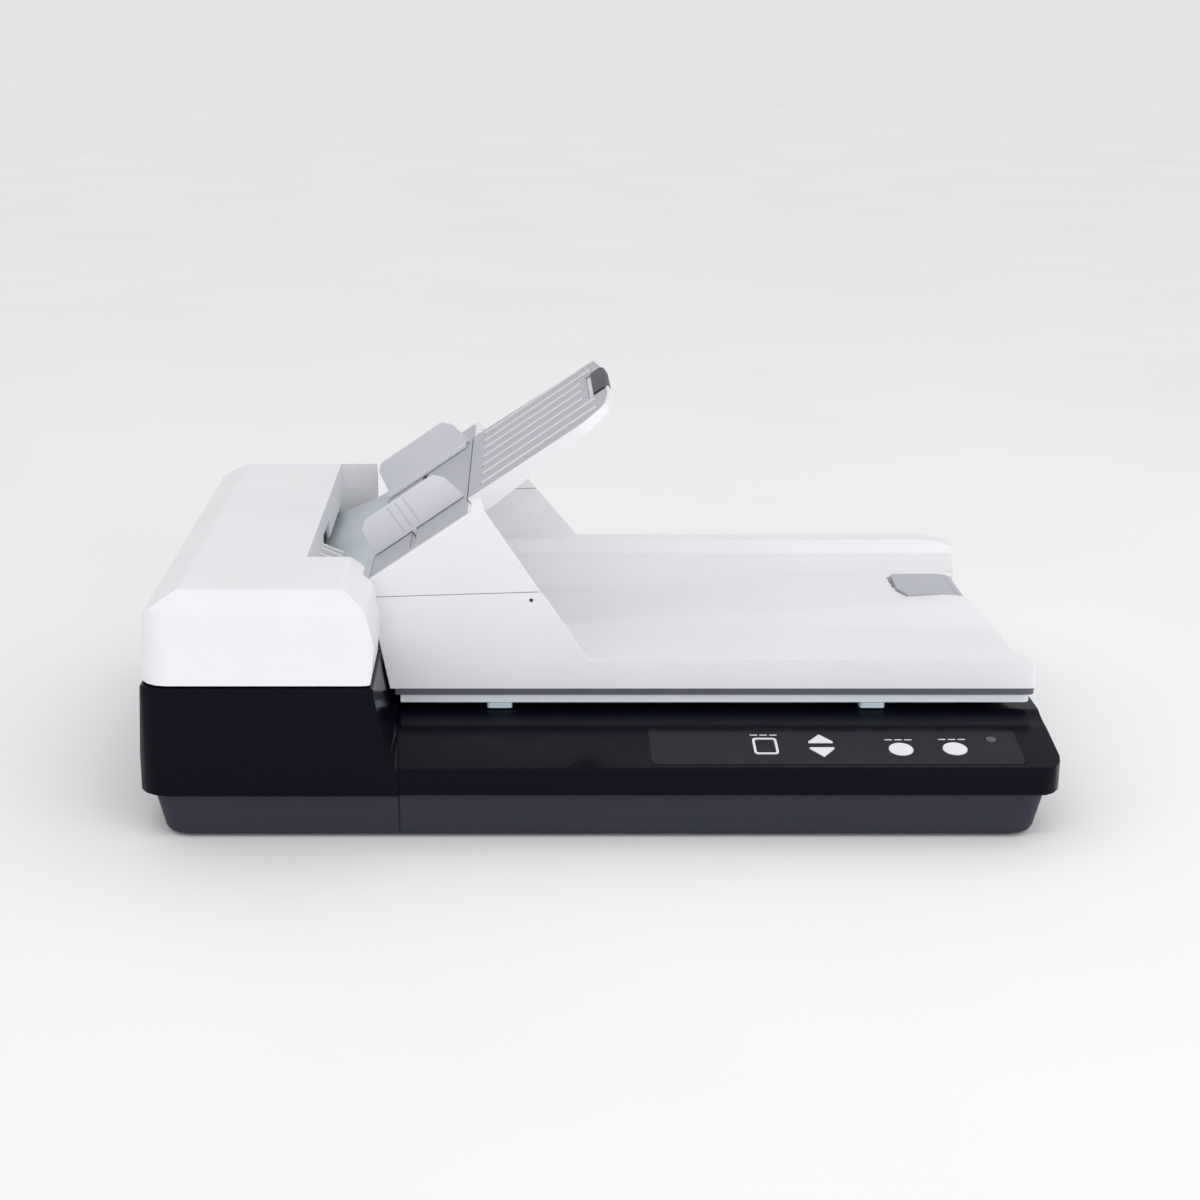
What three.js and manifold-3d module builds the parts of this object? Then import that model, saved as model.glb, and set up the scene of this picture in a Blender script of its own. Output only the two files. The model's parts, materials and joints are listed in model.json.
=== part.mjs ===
// Flatbed document scanner with a sheet feeder on its left.
// Millimetres, +Z up, +X to the right, front (control panel) towards -Y.
// The origin is on the table, at the middle of the footprint. The dimensions below are
// measured from a reference plane MIDDLE_X to its left, and every piece is moved over at the end.
import * as THREE from 'three';
import { mergeVertices } from 'three/addons/utils/BufferGeometryUtils.js';
import Module from 'manifold-3d';

const wasm = await Module();
wasm.setup();

// ---- Driving dimensions ----
const LEFT = -258;
const RIGHT = 262.4;
const MIDDLE_X = (LEFT + RIGHT) / 2;
const FRONT = -162.5;
const BACK = 162.5;
const GAP = 0.3;
const WALL = 2.6;

const TUB_BOTTOM = 1.2;
const BAND_BOTTOM = 27;
const DECK_Z = 53.4;
const SEAM_X = -111;
const SEAM_DECK_X = -115.5;
const CORNER_R = 14;

const PANEL_Y = -160;
const PANEL_Z = 42;
const PANEL_SLOPE = 9.2 * Math.PI / 180;

const PAPER_MID_Y = 33;
const PAPER_HALF = 110;
const PLATEN = { x0: -88, x1: 212, y0: -77, y1: 143 };

const FEEDER_WALL_X = -124;
const FEEDER_TOP_Z = 91;
const COVER_Z = 92.3;
const COVER_TOP_Z = 145;
const NOTCH = { x: -166.4, y0: -86, y1: 152 };

const LID = { x0: -119, x1: 260.5, y0: -95, y1: 161, z0: 67.3 };
const LID_RIM_Z = 85;
const REAR_RIM_Z = 92.5;
const PARTING = { left: [-130, 122.9], right: [-31.6, 126.1] };

const BED_X = -130.3;
const BED_Z = 133.5;
const BED_SLOPE = 34.5 * Math.PI / 180;
const BED_LENGTH = 68;
const GUIDE_Y = 78;
const TRAY_START = 68.5;
const TRAY_END = 170.5;

const CARRIAGE_X = -190;
const ROD_Z = 16;
const ROD_POST_X = 230;
const PULLEY_R = 6;
const PULLEY_X = 222;

// ---- Materials ----
const plastic = (colour, roughness = 0.5) =>
  new THREE.MeshStandardMaterial({ color: colour, roughness, metalness: 0 });
const metal = (colour, roughness = 0.35) =>
  new THREE.MeshStandardMaterial({ color: colour, roughness, metalness: 1 });
const WHITE = plastic(0xf0eff2, 0.45);
const BLACK = plastic(0x1c1d26, 0.35);
const TUB = plastic(0x36373f, 0.6);
const LIGHT_GREY = plastic(0xc6c7cd, 0.5);
const MID_GREY = plastic(0xb0b1b9, 0.5);
const DARK_GREY = plastic(0x50505a, 0.55);
const PAD = plastic(0xd1dde7, 0.6);
const GLOSS_BLACK = plastic(0x202028, 0.12);
const RUBBER = plastic(0x222225, 0.85);
const STEEL = metal(0xb8bbc0);
const GLASS = new THREE.MeshStandardMaterial({
  color: 0xbfd4d6, roughness: 0.05, metalness: 0, transparent: true, opacity: 0.35 });
const CIRCUIT = plastic(0x1f6b45, 0.6);

// ---- Solids ----
// A closed three.js geometry as a manifold solid, moved by a matrix.
function solid(geometry, matrix) {
  const bare = geometry.clone();
  bare.deleteAttribute('normal');
  bare.deleteAttribute('uv');
  if (matrix) bare.applyMatrix4(matrix);
  const merged = mergeVertices(bare, 1e-4);
  return new wasm.Manifold(new wasm.Mesh({
    numProp: 3,
    vertProperties: new Float32Array(merged.attributes.position.array),
    triVerts: new Uint32Array(merged.index.array),
  }));
}

function toGeometry(body) {
  const mesh = body.getMesh();
  const geometry = new THREE.BufferGeometry();
  geometry.setAttribute('position', new THREE.BufferAttribute(mesh.vertProperties, 3));
  geometry.setIndex(new THREE.BufferAttribute(mesh.triVerts, 1));
  return geometry;
}

// An outline whose corners may carry a radius: [u, v] or [u, v, r].
function outline(points, steps = 4) {
  const result = [];
  points.forEach(([u, v, r = 0], i) => {
    if (!r) {
      result.push(new THREE.Vector2(u, v));
      return;
    }
    const corner = new THREE.Vector2(u, v);
    const before = new THREE.Vector2(...points.at(i - 1).slice(0, 2));
    const after = new THREE.Vector2(...points[(i + 1) % points.length].slice(0, 2));
    const toBefore = before.sub(corner).normalize();
    const toAfter = after.sub(corner).normalize();
    const half = Math.acos(toBefore.dot(toAfter)) / 2;
    const reach = r / Math.tan(half);
    const centre = corner.clone().add(
      toBefore.clone().add(toAfter).normalize().multiplyScalar(r / Math.sin(half)));
    const start = corner.clone().addScaledVector(toBefore, reach).sub(centre);
    const end = corner.clone().addScaledVector(toAfter, reach).sub(centre);
    const sweep = Math.atan2(start.cross(end), start.dot(end));
    for (let k = 0; k <= steps; k++) {
      const turned = start.clone().rotateAround(new THREE.Vector2(), sweep * k / steps);
      result.push(turned.add(centre));
    }
  });
  return new THREE.Shape(result);
}

// Extrusion of an outline along the third of three axes, from w0 to w1.
function prism(points, w0, w1, axes, origin = [0, 0, 0], steps = 4) {
  const geometry = new THREE.ExtrudeGeometry(
    outline(points, steps), { depth: w1 - w0, bevelEnabled: false, curveSegments: 6 });
  geometry.translate(0, 0, w0);
  const matrix = new THREE.Matrix4().makeBasis(...axes).setPosition(...origin);
  return solid(geometry, matrix);
}
const X = new THREE.Vector3(1, 0, 0);
const Y = new THREE.Vector3(0, 1, 0);
const Z = new THREE.Vector3(0, 0, 1);
const MINUS_Y = new THREE.Vector3(0, -1, 0);
const alongX = (points, x0, x1, steps) => prism(points, x0, x1, [Y, Z, X], [0, 0, 0], steps);
const alongY = (points, y0, y1, steps) => prism(points, -y1, -y0, [X, Z, MINUS_Y], [0, 0, 0], steps);
const alongZ = (points, z0, z1, steps) => prism(points, z0, z1, [X, Y, Z], [0, 0, 0], steps);

const rectangle = (u0, u1, v0, v1, r = 0) =>
  [[u0, v0, r], [u1, v0, r], [u1, v1, r], [u0, v1, r]];
const block = (x0, x1, y0, y1, z0, z1, r = 0) => alongZ(rectangle(x0, x1, y0, y1, r), z0, z1);

// The slope of the feed bed: s runs up the bed, n away from it.
const UP_BED = new THREE.Vector3(Math.cos(BED_SLOPE), 0, Math.sin(BED_SLOPE));
const OFF_BED = new THREE.Vector3(-Math.sin(BED_SLOPE), 0, Math.cos(BED_SLOPE));
const BED_ORIGIN = [BED_X, 0, BED_Z];
const onBed = (s, n, r = 0) =>
  [BED_X + s * UP_BED.x + n * OFF_BED.x, BED_Z + s * UP_BED.z + n * OFF_BED.z, r];
const bedPlate = (points, n0, n1, steps) => prism(points, n0, n1, [UP_BED, Y, OFF_BED], BED_ORIGIN, steps);
const bedSection = (points, y0, y1, steps) =>
  alongY(points.map(([s, n, r]) => onBed(s, n, r)), y0, y1, steps);

// The slope of the control panel: v runs up the panel, n away from it.
const UP_PANEL = new THREE.Vector3(0, Math.cos(PANEL_SLOPE), Math.sin(PANEL_SLOPE));
const OFF_PANEL = new THREE.Vector3(0, -Math.sin(PANEL_SLOPE), Math.cos(PANEL_SLOPE));
const panelPlate = (points, n0, n1, steps) =>
  prism(points, n0, n1, [X, UP_PANEL, OFF_PANEL], [0, PANEL_Y, PANEL_Z], steps);
const circle = (u, v, r, sides = 20) => Array.from({ length: sides }, (_, k) =>
  [u + r * Math.cos(2 * Math.PI * k / sides), v + r * Math.sin(2 * Math.PI * k / sides)]);

// A turned solid along an axis: profile of [distance, radius] pairs.
function turned(profile, centre, axis, sides = 16) {
  const points = profile.map(([d, r]) => new THREE.Vector2(r, d));
  points.unshift(new THREE.Vector2(0, profile[0][0]));
  points.push(new THREE.Vector2(0, profile.at(-1)[0]));
  const geometry = new THREE.LatheGeometry(points, sides);
  const turn = new THREE.Quaternion().setFromUnitVectors(Y, axis);
  return solid(geometry, new THREE.Matrix4().compose(
    new THREE.Vector3(...centre), turn, new THREE.Vector3(1, 1, 1)));
}
const rodAlong = (axis, centre, d0, d1, r, sides) => turned([[d0, r], [d1, r]], centre, axis, sides);

// A stack of outlines joined into one closed solid.
function loft(rings) {
  const size = rings[0].length;
  const positions = rings.flat(2);
  const index = [];
  for (let k = 0; k + 1 < rings.length; k++) {
    for (let i = 0; i < size; i++) {
      const j = (i + 1) % size;
      const low = k * size;
      const high = low + size;
      index.push(low + i, low + j, high + j, low + i, high + j, high + i);
    }
  }
  const contour = rings[0].map(([x, y]) => new THREE.Vector2(x, y));
  const top = (rings.length - 1) * size;
  for (const [a, b, c] of THREE.ShapeUtils.triangulateShape(contour, [])) {
    index.push(a, c, b, top + a, top + b, top + c);
  }
  const geometry = new THREE.BufferGeometry();
  geometry.setAttribute('position', new THREE.Float32BufferAttribute(positions, 3));
  geometry.setIndex(index);
  return solid(geometry);
}
const ringAt = (x0, x1, y0, y1, r, z) =>
  outline(rectangle(x0, x1, y0, y1, r), 4).getPoints().map(({ x, y }) => [x, y, z]);

// A slab whose top follows a height function over a grid, and whose bottom is flat.
function heightSlab(xs, ys, height, bottom) {
  const positions = [];
  const index = [];
  const columns = xs.length;
  const rows = ys.length;
  const layer = columns * rows;
  for (const top of [false, true]) {
    for (const y of ys) {
      for (const x of xs) positions.push(x, y, top ? height(x, y) : bottom);
    }
  }
  const quad = (a, b, c, d) => index.push(a, b, c, a, c, d);
  const at = (i, j, top) => (top ? layer : 0) + j * columns + i;
  for (let j = 0; j + 1 < rows; j++) {
    for (let i = 0; i + 1 < columns; i++) {
      quad(at(i, j, true), at(i + 1, j, true), at(i + 1, j + 1, true), at(i, j + 1, true));
      quad(at(i, j), at(i, j + 1), at(i + 1, j + 1), at(i + 1, j));
    }
  }
  for (let i = 0; i + 1 < columns; i++) {
    quad(at(i, 0), at(i + 1, 0), at(i + 1, 0, true), at(i, 0, true));
    quad(at(i + 1, rows - 1), at(i, rows - 1), at(i, rows - 1, true), at(i + 1, rows - 1, true));
  }
  for (let j = 0; j + 1 < rows; j++) {
    quad(at(0, j + 1), at(0, j), at(0, j, true), at(0, j + 1, true));
    quad(at(columns - 1, j), at(columns - 1, j + 1), at(columns - 1, j + 1, true), at(columns - 1, j, true));
  }
  const geometry = new THREE.BufferGeometry();
  geometry.setAttribute('position', new THREE.Float32BufferAttribute(positions, 3));
  geometry.setIndex(index);
  return solid(geometry);
}

const clamp = (t) => Math.min(Math.max(t, 0), 1);
const mix = (a, b, t) => a + (b - a) * clamp(t);
const smooth = (t) => clamp(t) ** 2 * (3 - 2 * clamp(t));

const scanner = new THREE.Group();
function piece(name, material, body) {
  const mesh = new THREE.Mesh(toGeometry(body.translate([-MIDDLE_X, 0, 0])), material);
  mesh.name = name;
  scanner.add(mesh);
}

// ---- Base: tub, feet and the parts that stand in it ----
const TUB_SIDE = { top: 7.5, bottom: 12.8 };
const TUB_FRONT = { top: 3.5, bottom: 4.5 };
const TUB_ROUND = 3.5;
const REAR_PORTS = { y: BACK - TUB_FRONT.bottom, z: 15, inletX: 150, usbX: 110 };
const FEET = [[-205, -120], [205, -120], [-205, 120], [205, 120]].map(([x, y]) => [MIDDLE_X + x, y]);
const FOOT_R = 9;
const FLOOR_Z = TUB_BOTTOM + WALL;

function tubRing(side, front, z) {
  return ringAt(LEFT + side, RIGHT - side, FRONT + front, BACK - front, CORNER_R, z);
}
function baseTub() {
  const outer = loft([tubRing(TUB_SIDE.bottom + TUB_ROUND, TUB_FRONT.bottom + TUB_ROUND, TUB_BOTTOM),
    tubRing(TUB_SIDE.bottom + 1, TUB_FRONT.bottom + 1, TUB_BOTTOM + 1.2),
    tubRing(TUB_SIDE.bottom, TUB_FRONT.bottom, TUB_BOTTOM + TUB_ROUND),
    tubRing(TUB_SIDE.top, TUB_FRONT.top, BAND_BOTTOM - GAP)]);
  const inner = loft([tubRing(TUB_SIDE.bottom + WALL, TUB_FRONT.bottom + WALL + 1, FLOOR_Z),
    tubRing(TUB_SIDE.top + WALL, TUB_FRONT.top + WALL, BAND_BOTTOM + 1)]);
  const inletHole = block(REAR_PORTS.inletX - 6, REAR_PORTS.inletX + 6, REAR_PORTS.y - 12, BACK,
    REAR_PORTS.z - 6, REAR_PORTS.z + 6);
  const usbHole = block(REAR_PORTS.usbX - 7, REAR_PORTS.usbX + 7, REAR_PORTS.y - 12, BACK,
    REAR_PORTS.z - 6.5, REAR_PORTS.z + 6.5);
  const seam = block(SEAM_X - 0.4, SEAM_X + 0.4, FRONT, FRONT + TUB_FRONT.bottom + 0.7, 0, BAND_BOTTOM);
  const notch = alongY([[SEAM_X - 2.6, 0], [SEAM_X + 2.6, 0], [SEAM_X + 0.8, 2.6], [SEAM_X - 0.8, 2.6]],
    FRONT, FRONT + 10);
  const shell = outer.subtract(inner).subtract(inletHole).subtract(usbHole).subtract(seam).subtract(notch);
  return shell.add(rodPost(-ROD_POST_X)).add(rodPost(ROD_POST_X));
}
// Upright on the tub's floor that holds one end of the carriage rod.
function rodPost(x) {
  const post = block(x - 3, x + 3, PAPER_MID_Y - 8, PAPER_MID_Y + 8, FLOOR_Z - 1, ROD_Z + 7);
  return post.subtract(rodAlong(X, [x, PAPER_MID_Y, ROD_Z], -5, 5, 4.2, 16));
}
piece('base_tub', TUB, baseTub());
FEET.forEach(([x, y], k) => {
  const height = TUB_BOTTOM - GAP;
  const foot = turned([[0, FOOT_R - 0.6], [0.6, FOOT_R], [height, FOOT_R]], [x, y, 0], Z, 20);
  piece(`rubber_foot_${k + 1}`, RUBBER, foot);
});

// Rear sockets for the power lead and the data lead.
function dcInlet() {
  const { inletX: x, z, y } = REAR_PORTS;
  const housing = block(x - 5.7, x + 5.7, y - 15, y - 0.6, z - 5.7, z + 5.7);
  const barrel = rodAlong(Y, [x, y, z], -11, 1, 3.2, 16);
  const pin = rodAlong(Y, [x, y, z], -12, -2, 1.1, 12);
  return housing.subtract(barrel).add(pin);
}
function usbPort() {
  const { usbX: x, z, y } = REAR_PORTS;
  const housing = block(x - 6.7, x + 6.7, y - 16, y - 0.6, z - 6.2, z + 6.2);
  const mouth = block(x - 4.3, x + 4.3, y - 11, y + 1, z - 4, z + 4);
  const tongue = block(x - 2.8, x + 2.8, y - 12, y - 3, z - 1.6, z + 1.6);
  return housing.subtract(mouth).add(tongue);
}
piece('dc_inlet', BLACK, dcInlet());
piece('usb_port', STEEL, usbPort());
piece('main_board', CIRCUIT, block(-20, 130, -138, -96, FLOOR_Z + 4, FLOOR_Z + 5.6));

// ---- Upper case: flatbed deck with the control panel ----
const panelZ = (y) => PANEL_Z + Math.tan(PANEL_SLOPE) * (y - PANEL_Y);
const OVERLAY = { x0: 31, x1: 242, v0: 6, v1: 47.5 };
const KEYS = {
  function_button: { x: 97, v: 26 },
  up_button: { x: 129, v: 33.5 },
  down_button: { x: 129, v: 20.5 },
  cancel_button: { x: 173.8, v: 22.5 },
  scan_button: { x: 204.6, v: 23 },
};
const ROUND_KEY_R = 7;
const KEY_TOP = 0.5;
const KEY_FOOT = -3.4;
const KEY_CLEARANCE = 0.35;
const LENS = { x: 227.2, v: 33.4, r: 3.2 };

function keyOutline(name, grow = 0) {
  const { x, v } = KEYS[name];
  if (name === 'function_button') return rectangle(x - 7 - grow, x + 7 + grow, v - 9 - grow, v + 9 + grow, 2.4);
  if (name === 'up_button') {
    return [[x - 7 - grow, v - 4 - grow], [x + 7 + grow, v - 4 - grow], [x + 7 + grow, v - 2.4],
      [x, v + 5.6 + grow * 1.4], [x - 7 - grow, v - 2.4]];
  }
  if (name === 'down_button') {
    return [[x - 7 - grow, v + 4 + grow], [x - 7 - grow, v + 2.4], [x, v - 6.6 - grow * 1.4],
      [x + 7 + grow, v + 2.4], [x + 7 + grow, v + 4 + grow]];
  }
  return circle(x, v, ROUND_KEY_R + grow, 24);
}

// Top of the deck from the front to the back: panel, shallow gutter, then the flat around the glass.
const DECK_PROFILE = [[FRONT, PANEL_Z - 2.6], [PANEL_Y + 2, panelZ(PANEL_Y + 2)], [-112.5, panelZ(-112.5)],
  [-107, 50.1], [-101.5, 50.8], [-97, 51.8], [-93.5, 52.9], [-90.5, DECK_Z]];
function deckSection() {
  return [[FRONT, BAND_BOTTOM, 2], [BACK, BAND_BOTTOM, 2], [BACK, DECK_Z, 4], ...DECK_PROFILE.toReversed()];
}

// Plan of the seam between the feeder's case and the flatbed's, from the front to the back.
const seamPlan = (shift) => [[SEAM_X + shift, FRONT - 1], [SEAM_X + shift, PANEL_Y], [SEAM_DECK_X + shift, -98],
  [SEAM_DECK_X + shift, BACK + 1]];

function flatbedFrame() {
  const edge = seamPlan(GAP);
  const plan = alongZ([edge[0], [RIGHT, FRONT - 1], [RIGHT, BACK + 1], ...edge.slice(1).reverse()],
    BAND_BOTTOM - 1, DECK_Z + 1);
  const rounded = (inset) => block(-200, RIGHT - inset, FRONT + inset, BACK - inset,
    BAND_BOTTOM - 1, DECK_Z + 1, 18 - inset);
  const outer = alongX(deckSection(), SEAM_DECK_X, RIGHT + 1).intersect(plan).intersect(rounded(0));
  const hollow = alongX([[FRONT, BAND_BOTTOM - 1], [BACK, BAND_BOTTOM - 1],
    [BACK, DECK_Z - 4], [-92, DECK_Z - 4], [FRONT + WALL, PANEL_Z - 4.4], [FRONT, PANEL_Z - 4.4]],
  SEAM_X - 10, RIGHT).intersect(rounded(WALL));
  const window_ = block(PLATEN.x0, PLATEN.x1, PLATEN.y0, PLATEN.y1, DECK_Z - 6, DECK_Z + 1, 3);
  const ledge = block(PLATEN.x0 - 5, PLATEN.x1 + 5, PLATEN.y0 - 5, PLATEN.y1 + 5, DECK_Z - 3, DECK_Z + 1, 3);
  const overlayPocket = panelPlate(
    rectangle(OVERLAY.x0 - GAP, OVERLAY.x1 + GAP, OVERLAY.v0 - GAP, OVERLAY.v1 + GAP, 4), -1.2, 3);
  let body = outer.subtract(hollow).subtract(window_).subtract(ledge).subtract(overlayPocket);
  for (const name of Object.keys(KEYS)) {
    body = body.subtract(panelPlate(keyOutline(name, KEY_CLEARANCE), -9, 3));
  }
  body = body.subtract(panelPlate(circle(LENS.x, LENS.v, LENS.r + KEY_CLEARANCE, 16), -9, 3));
  for (const x of HINGE_XS) {
    body = body.subtract(block(x - 11, x + 11, 148, BACK - 0.8, 30, DECK_Z + 1));
  }
  return body;
}
const HINGE_XS = [-70, 190];
piece('flatbed_frame', BLACK, flatbedFrame());
piece('platen_glass', GLASS, block(PLATEN.x0 - 4.6, PLATEN.x1 + 4.6, PLATEN.y0 - 4.6, PLATEN.y1 + 4.6,
  DECK_Z - 2.8, DECK_Z - 0.2, 3));

function panelOverlay() {
  let sheet = panelPlate(rectangle(OVERLAY.x0, OVERLAY.x1, OVERLAY.v0, OVERLAY.v1, 4), -0.9, 0.15);
  for (const name of Object.keys(KEYS)) {
    sheet = sheet.subtract(panelPlate(keyOutline(name, KEY_CLEARANCE), -3, 3));
  }
  return sheet.subtract(panelPlate(circle(LENS.x, LENS.v, LENS.r + KEY_CLEARANCE, 16), -3, 3));
}
piece('panel_overlay', GLOSS_BLACK, panelOverlay());
piece('status_lens', DARK_GREY, panelPlate(circle(LENS.x, LENS.v, LENS.r, 16), -4, 0.5));

function functionButton() {
  const { x, v } = KEYS.function_button;
  const well = panelPlate(rectangle(x - 5.6, x + 5.6, v - 7.6, v + 7.6, 1.4), -1, KEY_TOP + 1);
  return panelPlate(keyOutline('function_button'), KEY_FOOT, KEY_TOP).subtract(well);
}
function functionCap() {
  const { x, v } = KEYS.function_button;
  return panelPlate(rectangle(x - 5.3, x + 5.3, v - 7.3, v + 7.3, 1.2), -0.7, KEY_TOP - 0.2);
}
piece('function_button', WHITE, functionButton());
piece('function_key_face', GLOSS_BLACK, functionCap());
for (const name of ['up_button', 'down_button', 'cancel_button', 'scan_button']) {
  piece(name, WHITE, panelPlate(keyOutline(name), KEY_FOOT, KEY_TOP));
}
piece('panel_board', CIRCUIT, panelPlate(rectangle(28, 244, 6, 46), -9.4, -7.8));

// ---- Feeder body: the black case on the left ----
// The wall beside the flatbed runs out into the deck in a hollow curve.
function deckTop(y) {
  const next = DECK_PROFILE.findIndex(([at]) => at > y);
  if (next < 0) return DECK_Z;
  const [y0, z0] = DECK_PROFILE[next - 1];
  const [y1, z1] = DECK_PROFILE[next];
  return mix(z0, z1, (y - y0) / (y1 - y0));
}
function seamAt(y) {
  return mix(SEAM_X, SEAM_DECK_X, (y - PANEL_Y) / (-98 - PANEL_Y));
}
function footHeight(x, y) {
  const share = (seamAt(y) - x) / (seamAt(y) - FEEDER_WALL_X);
  return mix(deckTop(y), FEEDER_TOP_Z - 3, clamp(share) ** 1.6);
}
const FOOT_XS = [FEEDER_WALL_X - 1, FEEDER_WALL_X, -123, -121.5, -120, -118.5, -117, -115.5, -113.5,
  SEAM_X + 1];
const FOOT_YS = [...DECK_PROFILE.map(([y]) => y), BACK];

function feederBody() {
  const section = [[LEFT, BAND_BOTTOM, 2], [FEEDER_WALL_X, BAND_BOTTOM], [FEEDER_WALL_X, FEEDER_TOP_Z, 1.5],
    [LEFT + 4, FEEDER_TOP_Z, 1.5]];
  const edge = seamPlan(0);
  const plan = alongZ([[LEFT - 1, FRONT - 1], edge[0], ...edge.slice(1), [LEFT - 1, BACK + 1]],
    BAND_BOTTOM - 1, FEEDER_TOP_Z + 1);
  const rounded = (inset) => block(LEFT + inset, -60, FRONT + inset, BACK - inset,
    BAND_BOTTOM - 1, FEEDER_TOP_Z + 1, 18 - inset);
  const foot = heightSlab(FOOT_XS, FOOT_YS, footHeight, BAND_BOTTOM);
  const outer = alongY(section, FRONT, BACK).add(foot).intersect(plan).intersect(rounded(0));
  const well = block(LEFT + 4 + WALL, FEEDER_WALL_X - WALL, FRONT, BACK, BAND_BOTTOM - 1, FEEDER_TOP_Z + 1)
    .intersect(rounded(WALL));
  const tunnel = block(FEEDER_WALL_X - 20, SEAM_X + 1, FRONT + WALL, BACK - WALL, BAND_BOTTOM - 1, DECK_Z - 4)
    .subtract(block(FEEDER_WALL_X - 21, SEAM_X + 2, FRONT, -92, PANEL_Z - 4, DECK_Z));
  return outer.subtract(well).subtract(tunnel);
}
piece('feeder_body', BLACK, feederBody());

// Deck inside the feeder with the narrow scanning window.
const SLIT = { x0: -204, x1: -178 };
function feederDeck() {
  const deck = block(LEFT + 4 + WALL + GAP, FEEDER_WALL_X - WALL - GAP, FRONT + WALL + GAP, BACK - WALL - GAP,
    DECK_Z - 2.4, DECK_Z, 14.5);
  return deck.subtract(block(SLIT.x0, SLIT.x1, PLATEN.y0, PLATEN.y1, DECK_Z - 5, DECK_Z + 1));
}
piece('feeder_deck', DARK_GREY, feederDeck());
piece('feeder_scan_glass', GLASS, block(SLIT.x0 + GAP, SLIT.x1 - GAP, PLATEN.y0 + GAP, PLATEN.y1 - GAP,
  DECK_Z - 2.2, DECK_Z - 0.2));

// ---- Scanning carriage on its rod, driven by a toothed belt ----
const BELT_Y = 56;
const CARRIAGE_HALF = 16;
function carriage() {
  const bar = block(CARRIAGE_X - CARRIAGE_HALF, CARRIAGE_X + CARRIAGE_HALF, -83, 148, 25, 37, 3);
  const bearing = block(CARRIAGE_X - 15, CARRIAGE_X + 15, PAPER_MID_Y - 8, PAPER_MID_Y + 8, 8, 26);
  const bore = rodAlong(X, [CARRIAGE_X, PAPER_MID_Y, ROD_Z], -20, 20, 4.3, 16);
  const beltGrip = block(CARRIAGE_X - 8, CARRIAGE_X + 8, BELT_Y + 4, BELT_Y + 10, 18.4, 26);
  const slider = block(CARRIAGE_X - 10, CARRIAGE_X + 10, -82, -76, 8, 26);
  return bar.add(bearing).subtract(bore).add(beltGrip).add(slider);
}
piece('carriage', DARK_GREY, carriage());
piece('sensor_bar', BLACK, block(CARRIAGE_X - 9, CARRIAGE_X + 9, -79, 144, 37.3, 48.6, 1.5));
piece('carriage_rod', STEEL, rodAlong(X, [0, PAPER_MID_Y, ROD_Z], -234, 234, 4, 16));

function loopAround(circles, grow, sides) {
  const points = circles.flatMap(([u, v, r]) => circle(u, v, r + grow, sides));
  return hull(points);
}
// Convex outline around a set of points.
function hull(points) {
  const sorted = [...points].sort((a, b) => a[0] - b[0] || a[1] - b[1]);
  const turn = (o, a, b) => (a[0] - o[0]) * (b[1] - o[1]) - (a[1] - o[1]) * (b[0] - o[0]);
  const chain = (list) => {
    const kept = [];
    for (const p of list) {
      while (kept.length > 1 && turn(kept.at(-2), kept.at(-1), p) <= 1e-9) kept.pop();
      kept.push(p);
    }
    return kept.slice(0, -1);
  };
  return [...chain(sorted), ...chain(sorted.reverse())];
}
const BELT_SPAN = [[-PULLEY_X, BELT_Y, PULLEY_R], [PULLEY_X, BELT_Y, PULLEY_R]];
const carriageBelt = alongZ(loopAround(BELT_SPAN, 1.6, 20), 12, 18)
  .subtract(alongZ(loopAround(BELT_SPAN, GAP, 20), 11, 19));
piece('carriage_belt', RUBBER, carriageBelt);
for (const [name, x] of [['drive_pulley', -PULLEY_X], ['idler_pulley', PULLEY_X]]) {
  const profile = [[9, 3], [11.4, 3], [11.4, PULLEY_R], [18.6, PULLEY_R], [18.6, 3], [20, 3]];
  const wheel = turned(profile, [x, BELT_Y, 0], Z, 20);
  piece(name, STEEL, wheel);
}
piece('carriage_motor', DARK_GREY, rodAlong(Z, [-PULLEY_X, BELT_Y, 0], 20.6, 38, 13, 20));

// ---- Feeder core and rollers ----
const TURN = { x: -212, z: 84, r: 21 };
const PINCH_GAP = 1.0;
const ROLLERS = {
  transport_roller: { x: -224, z: 84, r: 11, hub: 7 },
  exit_roller: { x: -143, z: 99, r: 7, hub: 6 },
};
const MOTOR = { x: -185, z: 76, r: 5 };
const CORE_Y0 = PAPER_MID_Y - PAPER_HALF;
const CORE_Y1 = PAPER_MID_Y + PAPER_HALF;
const SHAFT_R = 3;

function feederCore() {
  const bend = [];
  for (let angle = 75; angle <= 275; angle += 20) {
    const turn = angle * Math.PI / 180;
    bend.push([TURN.x + TURN.r * Math.cos(turn), TURN.z + TURN.r * Math.sin(turn)]);
  }
  const ramp = [[-131.6, 96], [-131.6, 129], [-141, 123.5], [-152, 118.3], [-170, 111.5], [-190, 107.5]];
  let body = alongY([...ramp, ...bend, [-186, 64]], CORE_Y0, CORE_Y1);
  for (const { x, z, r } of Object.values(ROLLERS)) {
    body = body.subtract(rodAlong(Y, [x, 0, z], CORE_Y0 - 1, CORE_Y1 + 1, r + PINCH_GAP, 20));
  }
  const padSeat = block(-206, -188, PAPER_MID_Y - 16, PAPER_MID_Y + 16, 103, 112);
  const hollow = [[-207, 70], [-190, 69], [-156, 88.5], [-156, 111], [-170, 107], [-186, 102], [-187, 100],
    [-207, 100]];
  return body.subtract(padSeat).subtract(alongY(hollow, CORE_Y0 - 1, CORE_Y1 - 3));
}
piece('feeder_core', PAD, feederCore());
piece('separation_pad', RUBBER, block(-205.6, -188.4, PAPER_MID_Y - 15.6, PAPER_MID_Y + 15.6, 103.4, 106.4));

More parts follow.
